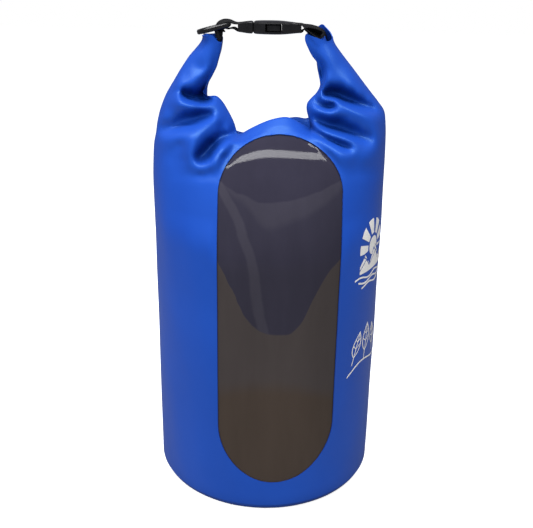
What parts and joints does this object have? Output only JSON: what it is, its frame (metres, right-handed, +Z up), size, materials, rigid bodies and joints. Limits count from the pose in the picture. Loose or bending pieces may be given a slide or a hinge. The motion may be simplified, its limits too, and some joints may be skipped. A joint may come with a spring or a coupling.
{
  "type": "dry bag",
  "caption": "Upright cylindrical roll-top dry bag in blue PVC with a stadium-shaped smoky clear window and a black side-release buckle that closes the rolled lip into a carrying handle.",
  "frame": {"origin": "centre of the round base, on the ground", "axes": "+Z up along the tube, +X to the right seen from the window side, the window faces -Y"},
  "size_m": [0.234, 0.234, 0.4781],
  "materials": {
    "pvc_blue": "satin coated tarpaulin",
    "window_film": "glossy smoky clear film",
    "black_plastic": "semi-matt moulded acetal",
    "black_webbing": "flat woven 25 mm webbing",
    "stiffener": "natural polyethylene strip",
    "thread": "bonded thread"
  },
  "bodies": {
    "bag": {"body_tube": "pvc_blue", "base_disc": "pvc_blue", "window_film": "window_film", "shoulder_left": "pvc_blue", "shoulder_right": "pvc_blue", "roll_center": "pvc_blue", "stiffener_center": "stiffener", "lip_webbing_center": "black_webbing"},
    "left_horn": {"roll_left": "pvc_blue", "stiffener_left": "stiffener", "lip_webbing_left": "black_webbing", "bartack_left": "thread"},
    "right_horn": {"roll_right": "pvc_blue", "stiffener_right": "stiffener", "lip_webbing_right": "black_webbing", "bartack_right": "thread"},
    "plug": {"buckle_plug": "black_plastic", "webbing_left_loop": "black_webbing"},
    "socket": {"buckle_socket": "black_plastic", "webbing_right_loop": "black_webbing"},
    "prong_front": {"buckle_prong_front": "black_plastic"},
    "prong_back": {"buckle_prong_back": "black_plastic"},
    "ring": {"d_ring": "black_plastic"}
  },
  "joints": [
    {"name": "left_horn_spread", "type": "hinge", "parent": "bag", "child": "left_horn", "pos_m": [-0.05548, 0, 0.35359], "axis": [0, -1, 0], "range_deg": [0, 45], "stiffness_Nm_per_rad": 0.8, "deforming": ["shoulder_left", "shoulder_right", "buckle_prong_front", "buckle_prong_back"]},
    {"name": "right_horn_spread", "type": "hinge", "parent": "bag", "child": "right_horn", "pos_m": [0.05548, 0, 0.35359], "axis": [0, 1, 0], "range_deg": [0, 45], "stiffness_Nm_per_rad": 0.8},
    {"name": "plug_level", "type": "hinge", "parent": "left_horn", "child": "plug", "pos_m": [-0.05, 0, 0.47], "axis": [0, -1, 0], "range_deg": [-45, 0]},
    {"name": "socket_level", "type": "hinge", "parent": "right_horn", "child": "socket", "pos_m": [0.05, 0, 0.47], "axis": [0, 1, 0], "range_deg": [-45, 0]},
    {"name": "prong_front_squeeze", "type": "hinge", "parent": "plug", "child": "prong_front", "pos_m": [-0.0205, -0.0095, 0.4715], "axis": [0, 0, 1], "range_deg": [0, 8], "stiffness_Nm_per_rad": 0.3},
    {"name": "prong_back_squeeze", "type": "hinge", "parent": "plug", "child": "prong_back", "pos_m": [-0.0205, 0.0095, 0.4715], "axis": [0, 0, -1], "range_deg": [0, 8], "stiffness_Nm_per_rad": 0.3},
    {"name": "ring_swing", "type": "hinge", "parent": "plug", "child": "ring", "pos_m": [-0.0415, 0, 0.4735], "axis": [0, 1, 0], "range_deg": [0, 130]}
  ],
  "couplings": [
    {"joint": "right_horn_spread", "follows": "left_horn_spread", "ratio": 1},
    {"joint": "plug_level", "follows": "left_horn_spread", "ratio": -1},
    {"joint": "socket_level", "follows": "left_horn_spread", "ratio": -1},
    {"joint": "prong_back_squeeze", "follows": "prong_front_squeeze", "ratio": 1}
  ]
}
